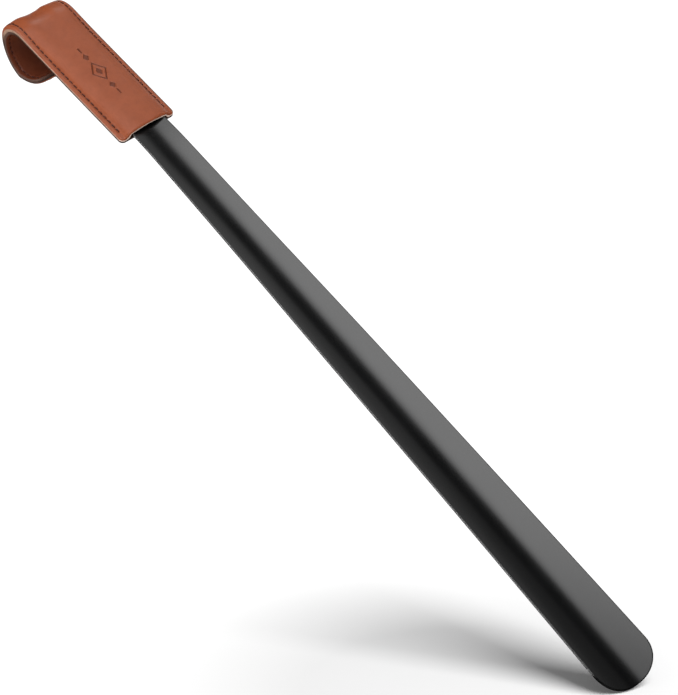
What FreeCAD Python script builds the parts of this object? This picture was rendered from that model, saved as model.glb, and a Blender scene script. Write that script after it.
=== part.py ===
import FreeCAD, Part
import math
import os

# Long-handled shoehorn: a one-piece stamped steel horn whose upper end is bent
# round into a hanging crook and sewn into a two-panel leather sleeve.
#
# Frame (millimetres): origin on the axis of the hanging crook, midway across
# the width.  +Z runs up the horn, +X is across its width, -Y is the front, the
# side the hollow of the trough faces.  The crook curls over the top to +Y.
#
# Sleeve coordinates: x across, s along the sleeve from its mouth (measured on
# the outer surface of the front panel) and r outward from the crook axis.
Vector = FreeCAD.Vector
ORIGIN = Vector(0, 0, 0)
X_AXIS = Vector(1, 0, 0)

# ---------------------------------------------------------------- dimensions
# leather sleeve
SLEEVE_W = 38.5          # width of both panels
LEATHER_T = 1.6          # thickness of each panel
GLUE = 0.08              # glue line between touching layers
CROOK_R = 14.8           # inside radius of the crook (a peg or rail fits here)
STRAIGHT = 95.0          # crook axis down to the mouth of the sleeve
CROOK_TURN = 238.0       # angle the sleeve turns through, degrees
TAPER_RUN = 19.1         # run over which the sleeve narrows before its end
TAPER = 0.254            # narrowing of each side per millimetre of that run
END_LEN = 10.0           # length of the rounded corners of the end
END_EXP = 4.0            # superellipse exponent of those corners
MOUTH_R = 3.0            # corner radius of the panels at the mouth

# arch of the front panel over the steel core, as heights above the flat panel
ARCH_MOUTH = 4.25        # along the middle, at the mouth
ARCH_CROOK = 2.42        # along the middle, above ARCH_BLEND
ARCH_RIM = 3.12          # over the rims of the core
ARCH_BLEND = 50.0        # run above the mouth over which the middle sinks
ARCH_HALF_W = 11.5       # distance from the middle at which the rim height is reached
END_FOOT = 5.0           # the arch runs out more gently past the end of the core
# distances outside the core where the arch starts to fall and where it ends
OUTER_FALL = (-0.3, 4.0)
INNER_FALL = (0.1, 3.5)
GRID_X, GRID_S = 48, 72  # steps of the point grid of the arched surfaces

# steel horn
STEEL_T = 1.4
HORN_LEN = 423.5         # mouth of the sleeve to the tip, along the horn
# (fraction of the horn's length below the mouth, full width)
HORN_WIDTHS = [(0.0, 23.58), (0.20, 26.56), (0.42, 30.86), (0.70, 35.26), (1.0, 40.0)]
SHANK_DEPTH = 1.6        # trough depth inside the sleeve
TIP_DEPTH = 5.6          # trough depth at the tip
BEND_RUN = 25.0          # run below the mouth over which the horn leans back
LEAN_TOP = 0.081         # lean gained over that run, radians
LEAN_TIP = 0.113         # lean at the tip, radians
TIP_LEN = 18.1           # length of the rounded tip
TIP_EXP = 2.3            # superellipse exponent of the tip
CORE_RUN = 46.0          # crook start to where the steel core starts to round off
RIM_R = 0.45             # rounding of the steel edges
BLADE_STEPS = 20         # loft steps along the blade
BLADE_SPACING = 1.6      # exponent that crowds the stations towards the mouth
BLADE_EXTRA = 3.0        # blade lofted past the tip, then cut off

# seam
SEAM_INSET = 3.0         # seam line in from the edge
PITCH = 3.96             # nominal stitch length
HOLE_R = 0.80            # awl hole, shared by two stitch legs
THREAD_R = 0.33
LEG_R = 0.31             # the legs are pulled a little thinner than the run
LEG_OFFSET = 0.40        # leg centre from the hole centre
LEG_SHORT = 0.06         # the legs stop this short of mid-seam
SINK_NEEDLE = 0.30       # depth of the needle thread centre line below the leather
SINK_BOBBIN = 0.46       # same for the bobbin thread, kept clear of the crook's bore
SLOT_W = 0.86            # width of the pressed channel under a stitch
SLOT_CLEAR = 0.09        # channel floor below the thread
SEAM_START = 5.75        # first hole above the mouth
SEAM_GAP = (-0.8, 0.3)   # seam points left out round the start of the taper

# ------------------------------------------------------------ derived values
HALF = SLEEVE_W / 2.0
R_BACK_IN = CROOK_R
R_BACK_OUT = CROOK_R + LEATHER_T
R_FRONT_IN = R_BACK_OUT + GLUE
R_FRONT_OUT = R_FRONT_IN + LEATHER_T
R_STEEL_BACK = R_BACK_OUT + GLUE
R_STEEL_FRONT = R_STEEL_BACK + STEEL_T
CORE_HALF = HORN_WIDTHS[0][1] / 2.0
S_END = STRAIGHT + R_FRONT_OUT * math.radians(CROOK_TURN)
S_ROUND = S_END - END_LEN
S_TAPER = S_END - TAPER_RUN
S_CORE = STRAIGHT + CORE_RUN


# ============================================================ shared helpers
def smooth_step(t):
    t = max(0.0, min(1.0, t))
    return t * t * (3.0 - 2.0 * t)


def sleeve_normal(s):
    """Unit vector away from the crook axis, square to the sleeve at s."""
    if s <= STRAIGHT:
        return Vector(0, -1, 0)
    angle = (s - STRAIGHT) / R_FRONT_OUT
    return Vector(0, -math.cos(angle), math.sin(angle))


def sleeve_point(x, s, r):
    """3-D point at sleeve coordinates x, s, r."""
    if s <= STRAIGHT:
        return Vector(x, -r, s - STRAIGHT)
    return Vector(x, 0, 0) + sleeve_normal(s) * r


def ruled_face(low, high):
    """Ruled face between two smooth curves through the given points."""
    curves = []
    for points in (low, high):
        curve = Part.BSplineCurve()
        curve.interpolate(points)
        curves.append(curve.toShape())
    return Part.makeRuledSurface(curves[0], curves[1], 1)


def keep_piece(shape, tool, inside):
    """Split shape by the face and keep the solid that holds the point inside."""
    parts, _ = shape.generalFuse([tool])
    for solid in parts.Solids:
        if solid.isInside(inside, 1e-4, False):
            return solid
    raise RuntimeError("no piece holds the reference point")


def quarter_turns(steps):
    """(i, angle) for i from -steps to steps; the angle is 0 at both ends, 90 deg midway."""
    return [(i, (1.0 - abs(i) / steps) * math.pi / 2.0) for i in range(-steps, steps + 1)]


def superellipse(half_w, length, exponent, steps, over):
    """(x, rise) round an end, from -x to +x; over widens it past the sides."""
    points = []
    for i, angle in quarter_turns(steps):
        x = (half_w + over) * math.cos(angle) ** (2.0 / exponent)
        rise = length * math.sin(angle) ** (2.0 / exponent)
        points.append((math.copysign(x, i) if i else 0.0, rise))
    return points


def sleeve_end(steps, lead):
    """(x, s) points round the end of the sleeve, from -x to +x.

    The sides narrow from S_TAPER on and run into rounded corners; lead carries
    the narrowing line back beyond the width of the sleeve.
    """
    def half_at(s):
        return HALF - TAPER * (s - S_TAPER)

    side = [S_TAPER - lead + (S_ROUND - S_TAPER + lead) * i / 5.0 for i in range(5)]
    points = [(-half_at(s), s) for s in side]
    for i, angle in quarter_turns(steps):
        s = S_ROUND + END_LEN * math.sin(angle) ** (2.0 / END_EXP)
        x = half_at(s) * math.cos(angle) ** (2.0 / END_EXP)
        points.append((math.copysign(x, i) if i else 0.0, s))
    return points + [(half_at(s), s) for s in reversed(side)]


# ================================================================ steel horn
def horn_width(fraction):
    """Full width at a fraction of the length: monotone cubic through HORN_WIDTHS."""
    table = HORN_WIDTHS
    count = len(table)
    gaps = [table[i + 1][0] - table[i][0] for i in range(count - 1)]
    chords = [(table[i + 1][1] - table[i][1]) / gaps[i] for i in range(count - 1)]
    slopes = [chords[0]]
    for i in range(1, count - 1):
        weight_before = 2 * gaps[i] + gaps[i - 1]
        weight_after = gaps[i] + 2 * gaps[i - 1]
        slopes.append((weight_before + weight_after)
                      / (weight_before / chords[i - 1] + weight_after / chords[i]))
    slopes.append(chords[-1])
    if fraction >= table[-1][0]:
        return table[-1][1] + slopes[-1] * (fraction - table[-1][0])
    i = 0
    while fraction > table[i + 1][0]:
        i += 1
    gap = gaps[i]
    t = (fraction - table[i][0]) / gap
    return ((1 + 2 * t) * (1 - t) ** 2 * table[i][1]
            + t * (1 - t) ** 2 * gap * slopes[i]
            + t * t * (3 - 2 * t) * table[i + 1][1]
            + t * t * (t - 1) * gap * slopes[i + 1])


def lean(s):
    """Backward lean at s below the mouth, radians."""
    return LEAN_TOP * smooth_step(s / BEND_RUN) + (LEAN_TIP - LEAN_TOP) * s / HORN_LEN


def blade_station(s):
    """Placing function of the blade section at s below the mouth.

    It maps x and the height in front of the trough bottom to a 3-D point.
    The trough bottom is found by summing the lean in steps of up to 1 mm.
    """
    steps = max(2, int(s) + 1)
    ds = s / steps
    y = 0.0
    z = 0.0
    for i in range(steps):
        angle = lean((i + 0.5) * ds)
        y += math.sin(angle) * ds
        z -= math.cos(angle) * ds
    y -= R_STEEL_FRONT
    z -= STRAIGHT
    tilt = lean(s)

    def place(x, height):
        return Vector(x, y - height * math.cos(tilt), z - height * math.sin(tilt))
    return place


def trough_wire(half_w, depth, place):
    """Closed trough section of the given outer half width, set by place(x, height)."""
    # the width includes the slanted rims, so the front arc is found by iteration
    inner_half = half_w
    for _ in range(40):
        front_r = (inner_half ** 2 + depth * depth) / (2.0 * depth)
        rim = math.asin(min(1.0, inner_half / front_r))
        inner_half = half_w - STEEL_T * math.sin(rim)
    back_r = front_r + STEEL_T

    def point(radius, angle):
        return place(radius * math.sin(angle), front_r - radius * math.cos(angle))

    front = Part.Arc(point(front_r, -rim), point(front_r, 0.0), point(front_r, rim))
    right = Part.LineSegment(point(front_r, rim), point(back_r, rim))
    back = Part.Arc(point(back_r, rim), point(back_r, 0.0), point(back_r, -rim))
    left = Part.LineSegment(point(back_r, -rim), point(front_r, -rim))
    return Part.Wire([side.toShape() for side in (front, right, back, left)])


def make_blade():
    """Blade from the mouth of the sleeve to the rounded tip."""
    wires = []
    for i in range(BLADE_STEPS + 1):
        s = (HORN_LEN + BLADE_EXTRA) * (i / BLADE_STEPS) ** BLADE_SPACING
        fraction = s / HORN_LEN
        depth = SHANK_DEPTH + (TIP_DEPTH - SHANK_DEPTH) * fraction
        wires.append(trough_wire(horn_width(fraction) / 2.0, depth, blade_station(s)))
    blade = Part.makeLoft(wires, True, False)

    behind, ahead = [], []
    for x, rise in superellipse(horn_width(1.0) / 2.0, TIP_LEN, TIP_EXP, 16, over=0.25):
        place = blade_station(HORN_LEN - TIP_LEN + rise)
        behind.append(place(x, -8.0))
        ahead.append(place(x, 16.0))
    inside = blade_station(HORN_LEN - 60.0)(0.0, -STEEL_T / 2.0)
    return keep_piece(blade, ruled_face(behind, ahead), inside)


def sleeve_section(z):
    """Constant steel section inside the sleeve, lying level at height z."""
    return Part.Face(trough_wire(CORE_HALF, SHANK_DEPTH,
                                 lambda x, height: Vector(x, -R_STEEL_FRONT - height, z)))


def make_core():
    """Part of the steel curled round the crook, with a round end."""
    turn = math.degrees((CORE_RUN + CORE_HALF + 2.0) / R_FRONT_OUT)
    core = sleeve_section(0).revolve(ORIGIN, X_AXIS, -turn)
    low, high = [], []
    for x, rise in superellipse(CORE_HALF, CORE_HALF, 2.0, 12, over=0.15):
        low.append(sleeve_point(x, S_CORE + rise, R_STEEL_BACK - 3.0))
        high.append(sleeve_point(x, S_CORE + rise, R_STEEL_FRONT + 6.0))
    inside = sleeve_point(0.0, STRAIGHT + 20.0, R_STEEL_BACK + STEEL_T / 2.0)
    return keep_piece(core, ruled_face(low, high), inside)


def round_rims(solid, radius):
    """Round the long sharp edges left by stamping, if the rounding is sound."""
    edges = []
    for edge in solid.Edges:
        if edge.Length < 2.5:
            continue
        middle = edge.valueAt((edge.FirstParameter + edge.LastParameter) / 2.0)
        faces = [f for f in solid.Faces if any(edge.isSame(other) for other in f.Edges)]
        if len(faces) != 2:
            continue
        normals = [f.normalAt(*f.Surface.parameter(middle)) for f in faces]
        if abs(normals[0].dot(normals[1])) < 0.6:
            edges.append(edge)
    rounded = solid.makeFillet(radius, edges)
    if (rounded.isValid() and len(rounded.Solids) == 1
            and 0.9 < rounded.Volume / solid.Volume < 1.0):
        return rounded.Solids[0]
    raise RuntimeError("unsound rounding")


def make_horn():
    blade = make_blade()
    shank = sleeve_section(-STRAIGHT).extrude(Vector(0, 0, STRAIGHT))
    horn = blade.fuse([shank, make_core()])
    if len(horn.Solids) == 1:
        horn = horn.Solids[0]
    # the fillet can fail on the lofted blade; the rims then stay square
    try:
        return round_rims(horn, RIM_R)
    except Exception:
        return horn


# ============================================================ leather panels
def make_end_face():
    """Cutting face round the end of the sleeve, shared by both panels."""
    low, high = [], []
    for x, s in sleeve_end(14, 4.0):
        low.append(sleeve_point(x, s, CROOK_R - 4.0))
        high.append(sleeve_point(x, s, R_FRONT_OUT + 7.0))
    return ruled_face(low, high)


def mouth_corner(side):
    """Waste outside the rounded mouth corner on one side (1 or -1)."""
    margin, y_start, y_run = 3, -40, 60
    centre_x = side * (HALF - MOUTH_R)
    size = MOUTH_R + margin
    box = Part.makeBox(size, y_run, size,
                       Vector(min(centre_x, side * (HALF + margin)), y_start,
                              -STRAIGHT - margin))
    return box.cut(Part.makeCylinder(MOUTH_R, y_run,
                                     Vector(centre_x, y_start, -STRAIGHT + MOUTH_R),
                                     Vector(0, 1, 0)))


def make_back_panel(end_face):
    """Back panel: a flat strap and a true cylinder round the crook."""
    flat = Part.makeBox(SLEEVE_W, LEATHER_T, STRAIGHT, Vector(-HALF, -R_BACK_OUT, -STRAIGHT))
    corners = [(-HALF, -R_BACK_OUT), (HALF, -R_BACK_OUT), (HALF, -R_BACK_IN),
               (-HALF, -R_BACK_IN), (-HALF, -R_BACK_OUT)]
    section = Part.Face(Part.makePolygon([Vector(x, y, 0) for x, y in corners]))
    curl = section.revolve(ORIGIN, X_AXIS, -(CROOK_TURN + 4.0))
    inside = sleeve_point(0.0, STRAIGHT + 15.0, CROOK_R + LEATHER_T / 2.0)
    curl = keep_piece(curl, end_face, inside)
    panel = flat.fuse(curl).removeSplitter()
    return panel.cut([mouth_corner(1), mouth_corner(-1)])


def arch_height(x, s, fall):
    """Height of the arch over the core; fall is OUTER_FALL or INNER_FALL."""
    if s <= S_CORE:
        from_middle = abs(x)
        run_out = 0.0
    else:
        from_middle = math.hypot(x, s - S_CORE)
        run_out = END_FOOT * ((s - S_CORE) / from_middle) ** 2
    middle = ARCH_MOUTH + (ARCH_CROOK - ARCH_MOUTH) * smooth_step(s / ARCH_BLEND)
    across = min(1.0, from_middle / ARCH_HALF_W) ** 2
    top = middle + (ARCH_RIM - middle) * across
    start, foot = fall
    outside = from_middle - CORE_HALF
    return top * (1.0 - smooth_step((outside - start) / (foot - start + run_out)))


def arched_surface(r, fall):
    """Smooth surface at radius r, raised over the core."""
    grid = []
    for j in range(GRID_S + 1):
        s = (S_END + 5.0) * j / GRID_S
        row = []
        for i in range(GRID_X + 1):
            x = -HALF + SLEEVE_W * i / GRID_X
            row.append(sleeve_point(x, s, r + arch_height(x, s, fall)))
        grid.append(row)
    surface = Part.BSplineSurface()
    surface.interpolate(grid)
    return surface


def make_front_panel(end_face):
    """Front panel: flat along the seam, arched over the rims of the core."""
    outer = arched_surface(R_FRONT_OUT, OUTER_FALL)
    inner = arched_surface(R_FRONT_IN, INNER_FALL)
    faces = [outer.toShape(), inner.toShape()]
    for i, (at_outer, at_inner) in enumerate(zip(outer.bounds(), inner.bounds())):
        if i < 2:
            rims = outer.uIso(at_outer), inner.uIso(at_inner)
        else:
            rims = outer.vIso(at_outer), inner.vIso(at_inner)
        faces += Part.makeRuledSurface(rims[0].toShape(), rims[1].toShape(), 1).Faces
    shell = Part.makeShell(faces)
    shell.sewShape()
    shell = Part.makeShell(shell.Faces)
    panel = Part.Solid(shell)
    panel.fix(1e-3, 1e-4, 1e-2)
    if panel.Volume < 0:
        panel = Part.Solid(shell.reversed())
    inside = sleeve_point(HALF - 1.5, STRAIGHT + 15.0, R_FRONT_IN + LEATHER_T / 2.0)
    panel = keep_piece(panel, end_face, inside)
    return panel.cut([mouth_corner(1), mouth_corner(-1)])


# ====================================================================== seam
def seam_path():
    """(x, s) points of the seam: parallel to the edge and round the end."""
    side = []
    s = 0.0
    while s < S_TAPER:
        side.append((-HALF, s))
        s += 0.5
    edge = side + sleeve_end(120, 0.0) + [(-x, s) for x, s in reversed(side)]
    path = []
    for before, (x, s), after in zip(edge, edge[1:], edge[2:]):
        dx = after[0] - before[0]
        ds = after[1] - before[1]
        run = math.hypot(dx, ds)
        path.append((x + SEAM_INSET * ds / run, s - SEAM_INSET * dx / run))
    # the inward offset doubles back for a moment where the sides start to narrow
    return [(x, s) for x, s in path
            if s >= SEAM_START and not SEAM_GAP[0] < s - S_TAPER < SEAM_GAP[1]]


def seam_holes():
    """(x, s) of the awl holes, evenly spaced close to PITCH."""
    path = seam_path()
    length = [0.0]
    for (x0, s0), (x1, s1) in zip(path, path[1:]):
        length.append(length[-1] + math.hypot(x1 - x0, s1 - s0))
    count = int(round(length[-1] / PITCH))
    step = length[-1] / count
    holes = []
    j = 0
    for i in range(count + 1):
        while j < len(length) - 2 and length[j + 1] < i * step:
            j += 1
        t = (i * step - length[j]) / (length[j + 1] - length[j])
        (x0, s0), (x1, s1) = path[j], path[j + 1]
        holes.append((x0 + t * (x1 - x0), s0 + t * (s1 - s0)))
    return holes


def make_stitch(start, start_normal, end, end_normal, sink):
    """One stitch: a run just under the surface and two legs to mid-seam."""
    leg = LEATHER_T + GLUE / 2.0 - LEG_SHORT - sink
    chord = end - start
    start_along = (chord - start_normal * chord.dot(start_normal)).normalize()
    end_along = (chord - end_normal * chord.dot(end_normal)).normalize()
    first = start + start_along * LEG_OFFSET - start_normal * sink
    last = end - end_along * LEG_OFFSET - end_normal * sink
    along = (last - first).normalize()
    run = Part.makeCylinder(THREAD_R, first.distanceToPoint(last) + 2 * THREAD_R,
                            first - along * THREAD_R, along)
    return run.fuse([Part.makeCylinder(LEG_R, leg, first, start_normal * -1.0),
                     Part.makeCylinder(LEG_R, leg, last, end_normal * -1.0)])


def make_slot(start, end, normal, sink):
    """Cutter for the pressed channel under one stitch."""
    run = start.distanceToPoint(end)
    deep = sink + THREAD_R + SLOT_CLEAR
    slot = Part.makeBox(run, SLOT_W, deep + 2.0, Vector(-run / 2.0, -SLOT_W / 2.0, -deep))
    up = Vector(normal).normalize()
    chord = end - start
    along = chord - up * chord.dot(normal)
    along.normalize()
    across = up.cross(along)
    centre = (start + end) * 0.5
    slot.transformShape(FreeCAD.Matrix(along.x, across.x, up.x, centre.x,
                                       along.y, across.y, up.y, centre.y,
                                       along.z, across.z, up.z, centre.z,
                                       0, 0, 0, 1))
    return slot


def sew(holes, r, outward, sink):
    """Stitches and channel cutters on the surface at r; outward is 1 or -1."""
    stitches, slots = [], []
    for (x0, s0), (x1, s1) in zip(holes, holes[1:]):
        start, end = sleeve_point(x0, s0, r), sleeve_point(x1, s1, r)
        stitches.append(make_stitch(start, sleeve_normal(s0) * outward,
                                    end, sleeve_normal(s1) * outward, sink))
        slots.append(make_slot(start, end, sleeve_normal((s0 + s1) / 2.0) * outward, sink))
    return stitches, slots


def awl_holes(holes):
    """Cutters through both panels."""
    depth = R_FRONT_OUT - R_BACK_IN + 2.0
    return [Part.makeCylinder(HOLE_R, depth, sleeve_point(x, s, R_BACK_IN - 1.0),
                              sleeve_normal(s)) for x, s in holes]


def cut_seam(panel, cutters):
    return panel.cut(cutters[0].multiFuse(cutters[1:]))


# ========================================================== build and export
horn = make_horn()
end_face = make_end_face()
back = make_back_panel(end_face)
front = make_front_panel(end_face)
holes = seam_holes()
needle, front_slots = sew(holes, R_FRONT_OUT, 1.0, SINK_NEEDLE)
bobbin, back_slots = sew(holes, R_BACK_IN, -1.0, SINK_BOBBIN)
awls = awl_holes(holes)

nodes = {
    "steel_horn": horn,
    "leather_front_panel": cut_seam(front, front_slots + awls),
    "leather_back_panel": cut_seam(back, back_slots + awls),
    "needle_thread": Part.makeCompound(needle),
    "bobbin_thread": Part.makeCompound(bobbin),
}
os.makedirs("parts", exist_ok=True)
for name, shape in nodes.items():
    if len(shape.Solids) == 1:
        shape = shape.Solids[0]
    shape.exportStep("parts/" + name + ".step")
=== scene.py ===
# A long steel horn whose shank sits in a stitched leather sleeve of two panels, curled into a crook.
# x runs across the strap, and the crook curls about the x axis. The straight part of the sleeve
# lies on the front (-y) side with its mouth facing down (-z). The blade hangs from the mouth,
# leaning a little towards +y, and is troughed with its hollow to the front.
#
# Shapes are worked out in mm and scaled to metres as meshes are made. A place on the sleeve is
# (x, along, radius): across, along the strap from the mouth, and out from the crook axis.
import itertools
import math

import bmesh
import bpy
import numpy as np
from mathutils import Matrix, Vector


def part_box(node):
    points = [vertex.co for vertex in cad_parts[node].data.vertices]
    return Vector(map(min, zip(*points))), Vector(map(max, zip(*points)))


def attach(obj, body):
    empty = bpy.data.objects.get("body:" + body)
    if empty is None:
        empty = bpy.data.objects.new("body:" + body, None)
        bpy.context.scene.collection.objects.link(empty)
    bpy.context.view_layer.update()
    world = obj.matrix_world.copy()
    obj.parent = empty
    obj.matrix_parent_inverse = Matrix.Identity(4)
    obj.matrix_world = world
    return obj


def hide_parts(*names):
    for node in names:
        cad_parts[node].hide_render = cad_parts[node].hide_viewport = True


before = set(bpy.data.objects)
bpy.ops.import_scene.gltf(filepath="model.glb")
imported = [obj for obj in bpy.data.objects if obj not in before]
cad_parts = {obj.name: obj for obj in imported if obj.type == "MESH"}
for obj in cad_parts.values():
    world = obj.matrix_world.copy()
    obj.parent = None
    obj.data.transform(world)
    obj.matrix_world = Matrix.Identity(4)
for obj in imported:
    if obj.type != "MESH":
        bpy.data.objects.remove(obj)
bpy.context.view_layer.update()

MM = 0.001
scene = bpy.context.scene

# ------------------------------------------------------------------ dimensions
back_lo, back_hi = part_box("leather_back_panel")
HALF_WIDTH = (back_hi.x - back_lo.x) / MM / 2.0
STRAIGHT = -back_lo.z / MM              # from the mouth to the start of the crook
LEATHER = 1.6                           # thicknesses
GLUE = 0.08
STEEL = 1.4

# radii of the faces about the crook axis
R_BACK_OUT = back_hi.z / MM
R_BACK_IN = R_BACK_OUT - LEATHER
R_FRONT_IN = R_BACK_OUT + GLUE
R_FRONT_OUT = R_FRONT_IN + LEATHER
R_STEEL_FRONT = R_BACK_OUT + GLUE + STEEL
CROOK_ANGLE = 238.0                     # degrees
CROOK_OPENING = 0.9                     # the curl opens a little towards the strap end

# strap end: the sides taper, then round off as a superellipse
TAPER_RUN = 19.1
TAPER = 0.254                           # narrowing of each side per mm
END_LEN = 10.0
END_EXP = 4.0
MOUTH_R = 3.0                           # corner radius at the mouth

# horn
HORN_LEN = 423.5                        # from the mouth to the tip
HORN_WIDTHS = np.array([                # fraction of the length, full width
    (0.0, 23.58), (0.20, 26.56), (0.42, 30.86), (0.70, 35.26), (1.0, 40.0)])
SHANK_DEPTH = 1.6                       # trough depth at the mouth and at the tip
TIP_DEPTH = 5.6
BEND_RUN = 25.0                         # the blade leans back over this run below the mouth
LEAN_TOP = 0.081                        # lean in radians
LEAN_TIP = 0.113
TIP_LEN = 18.1
TIP_EXP = 2.3
CORE_HALF = HORN_WIDTHS[0, 1] / 2.0     # half width of the steel inside the sleeve

# stations along the strap
S_END = STRAIGHT + R_FRONT_OUT * math.radians(CROOK_ANGLE)
S_ROUND = S_END - END_LEN
S_TAPER = S_END - TAPER_RUN
S_CORE = STRAIGHT + 46.0                # where the steel starts to round off

# seam
SEAM_INSET = 3.0
SEAM_START = 5.75
PITCH = 3.96


# --------------------------------------------------------------------- helpers
def ease(t):
    """Smooth step from 0 to 1."""
    t = np.clip(t, 0.0, 1.0)
    return t * t * (3.0 - 2.0 * t)


def unit(vectors):
    return vectors / np.linalg.norm(vectors, axis=-1, keepdims=True)


def smooth(values, reach, sigma):
    """Gaussian smoothing of evenly spaced samples; reach and sigma count samples."""
    kernel = np.exp(-np.arange(-reach, reach + 1) ** 2 / (2 * sigma ** 2))
    return np.convolve(values, kernel / kernel.sum(), "same")


def distances_along(points):
    return np.concatenate([[0], np.cumsum(np.linalg.norm(np.diff(points, axis=0), axis=1))])


def value_noise(points, seed, scale):
    """Smooth repeatable noise in -1..1 at points (n, 3), one cell per scale."""
    scaled = points / scale
    cell = np.floor(scaled).astype(np.int64)
    part = scaled - cell
    part = part * part * (3 - 2 * part)
    total = np.zeros(len(points))
    for corner in itertools.product((0, 1), repeat=3):
        i, j, k = (cell + np.array(corner)).T
        code = (i * 73856093) ^ (j * 19349663) ^ (k * 83492791) ^ (seed * 2654435761)
        code = (code ^ (code >> 13)) & 0x7FFFFFFF
        code = (code * 1274126177) & 0x7FFFFFFF
        value = (code % 20011) / 10005.5 - 1.0
        total += np.where(corner, part, 1 - part).prod(axis=1) * value
    return total


# ------------------------------------------------------------- the sleeve form
def crook_angle(along):
    return np.maximum(along - STRAIGHT, 0.0) / R_FRONT_OUT


def sleeve(x, along, radius):
    """3-D points (mm) of places on the sleeve."""
    angle = crook_angle(along)
    below = np.minimum(along - STRAIGHT, 0.0)
    radius = radius + CROOK_OPENING * ease((angle - 2.30) / 1.30)
    return np.stack([x, -radius * np.cos(angle), radius * np.sin(angle) + below], -1)


def sleeve_normal(along):
    """Unit normals away from the crook axis."""
    angle = crook_angle(along)
    return np.stack([np.zeros_like(angle), -np.cos(angle), np.sin(angle)], -1)


def from_core_line(x, along):
    """Distance from the centre line of the steel, radial round its rounded end."""
    return np.where(along <= S_CORE, np.abs(x), np.hypot(x, np.maximum(along - S_CORE, 0.0)))


def grip_to_mouth(along, grip, mouth):
    """Blends the value of the grip into that of the mouth."""
    weight = 1.0 - ease(along / 62.0)
    return grip * (1.0 - weight) + mouth * weight


# camber of the grip across its width, 1 in the middle and 0 at the seam land
CAMBER_X = np.arange(-30.0, 30.01, 0.1)
CAMBER = smooth(np.maximum(0.0, 1.0 - (np.abs(CAMBER_X) / 15.7) ** 3.3) ** 0.62,
                reach=20, sigma=6.0)

# fuller section before and at the start of the crook: distance from the middle, rise of the face
SHOULDER = np.array([
    (0, 2.2), (3, 2.25), (4.5, 2.4), (6.2, 2.72), (8, 3.0), (9.5, 3.17),
    (11, 3.2), (12.5, 3.05), (14, 2.85), (15.5, 2.62), (17, 2.35), (19.25, 2.2)])
SHOULDER_X = np.arange(-26.0, 26.01, 0.1)
shoulder_rise = smooth(np.interp(np.abs(SHOULDER_X), SHOULDER[:, 0], SHOULDER[:, 1]),
                       reach=30, sigma=9.0)
shoulder_rise[np.abs(SHOULDER_X) > 22.5] = SHOULDER[-1, 1]
shoulder_rise = shoulder_rise - 0.55 * ease((SHOULDER_X - 6.5) / 5.0)   # +x side is flatter


def face_rise(x, along):
    """Height of the front panel's outer face above its nominal radius."""
    camber = grip_to_mouth(along, grip=2.95, mouth=4.30) \
        * np.interp(from_core_line(x, along), CAMBER_X, CAMBER)
    full = ease((along - 72.0) / 40.0) * (1.0 - ease((along - 117.0) / 18.0))
    return camber * (1 - full) + full * np.interp(x, SHOULDER_X, shoulder_rise)


def cavity_rise(x, along):
    """Height of the front panel's inner face, which comes down outside the steel."""
    off_line = from_core_line(x, along)
    bow = np.sin(math.pi / 2 * np.minimum(1.0, off_line / 13.5)) ** 2
    roof = grip_to_mouth(along, grip=2.62 + 0.42 * bow, mouth=4.25 - 1.13 * bow)
    beyond = off_line - CORE_HALF
    return np.minimum(roof, face_rise(x, along) + 0.4) * (1.0 - ease((beyond - 0.1) / 2.5))


# ------------------------------------------------------------------ seam path
def sleeve_outline():
    """Plan outline from one mouth corner round the strap end to the other."""
    def half(along):
        return HALF_WIDTH - TAPER * (along - S_TAPER)

    straight = np.stack([np.full(302, -HALF_WIDTH), np.arange(302) * 0.5], 1)
    straight = straight[straight[:, 1] < S_TAPER]
    taper = S_TAPER + (S_ROUND - S_TAPER) * np.arange(5) / 5.0
    steps = np.arange(-120, 121)
    turn = (1.0 - np.abs(steps) / 120) * math.pi / 2.0
    along = S_ROUND + END_LEN * np.sin(turn) ** (2.0 / END_EXP)
    x = half(along) * np.cos(turn) ** (2.0 / END_EXP) * np.sign(steps)
    left = np.concatenate([straight, np.stack([-half(taper), taper], 1)])
    return np.concatenate([left, np.stack([x, along], 1), left[::-1] * np.array([-1, 1])])


def seam_line():
    """The outline moved inwards, without the mouth and the kink where the taper starts."""
    outline = sleeve_outline()
    heading = unit(outline[2:] - outline[:-2])
    inwards = np.stack([heading[:, 1], -heading[:, 0]], 1)
    line = outline[1:-1] + SEAM_INSET * inwards
    past_kink = line[:, 1] - S_TAPER
    return line[(line[:, 1] >= SEAM_START) & ~((past_kink > -0.8) & (past_kink < 0.3))]


seam = seam_line()
seam_at = distances_along(seam)
seam_length = seam_at[-1]
STITCHES = int(round(seam_length / PITCH))


def seam_points(distance):
    return np.stack([np.interp(distance, seam_at, seam[:, i]) for i in (0, 1)], 1)


holes = seam_points(np.linspace(0, seam_length, STITCHES + 1))
fine_at = np.linspace(0, seam_length, 3500)
seam_fine = seam_points(fine_at)


def seam_distance(x, along):
    """Distance to the seam line and, as a phase 0..1, the place between two holes."""
    plan = np.stack([x, along], 1)
    distance = np.full(len(plan), 9.0)      # far from the seam
    phase = np.zeros(len(plan))
    near = np.nonzero((np.abs(x) > 12.5) | (along > S_ROUND - 6))[0]
    step = seam_length / STITCHES
    batch, reach = 4000, 6                  # keeps the distance table small
    for start in range(0, len(near), batch):
        picked = near[start:start + batch]
        low = plan[picked, 1].min() - reach
        high = plan[picked, 1].max() + reach
        window = (seam_fine[:, 1] > low) & (seam_fine[:, 1] < high)
        if not window.any():
            continue
        square = ((plan[picked, None, :] - seam_fine[window][None, :, :]) ** 2).sum(2)
        closest = square.argmin(1)
        distance[picked] = np.sqrt(square[np.arange(len(picked)), closest])
        phase[picked] = (fine_at[window][closest] / step) % 1.0
    return distance, phase


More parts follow.
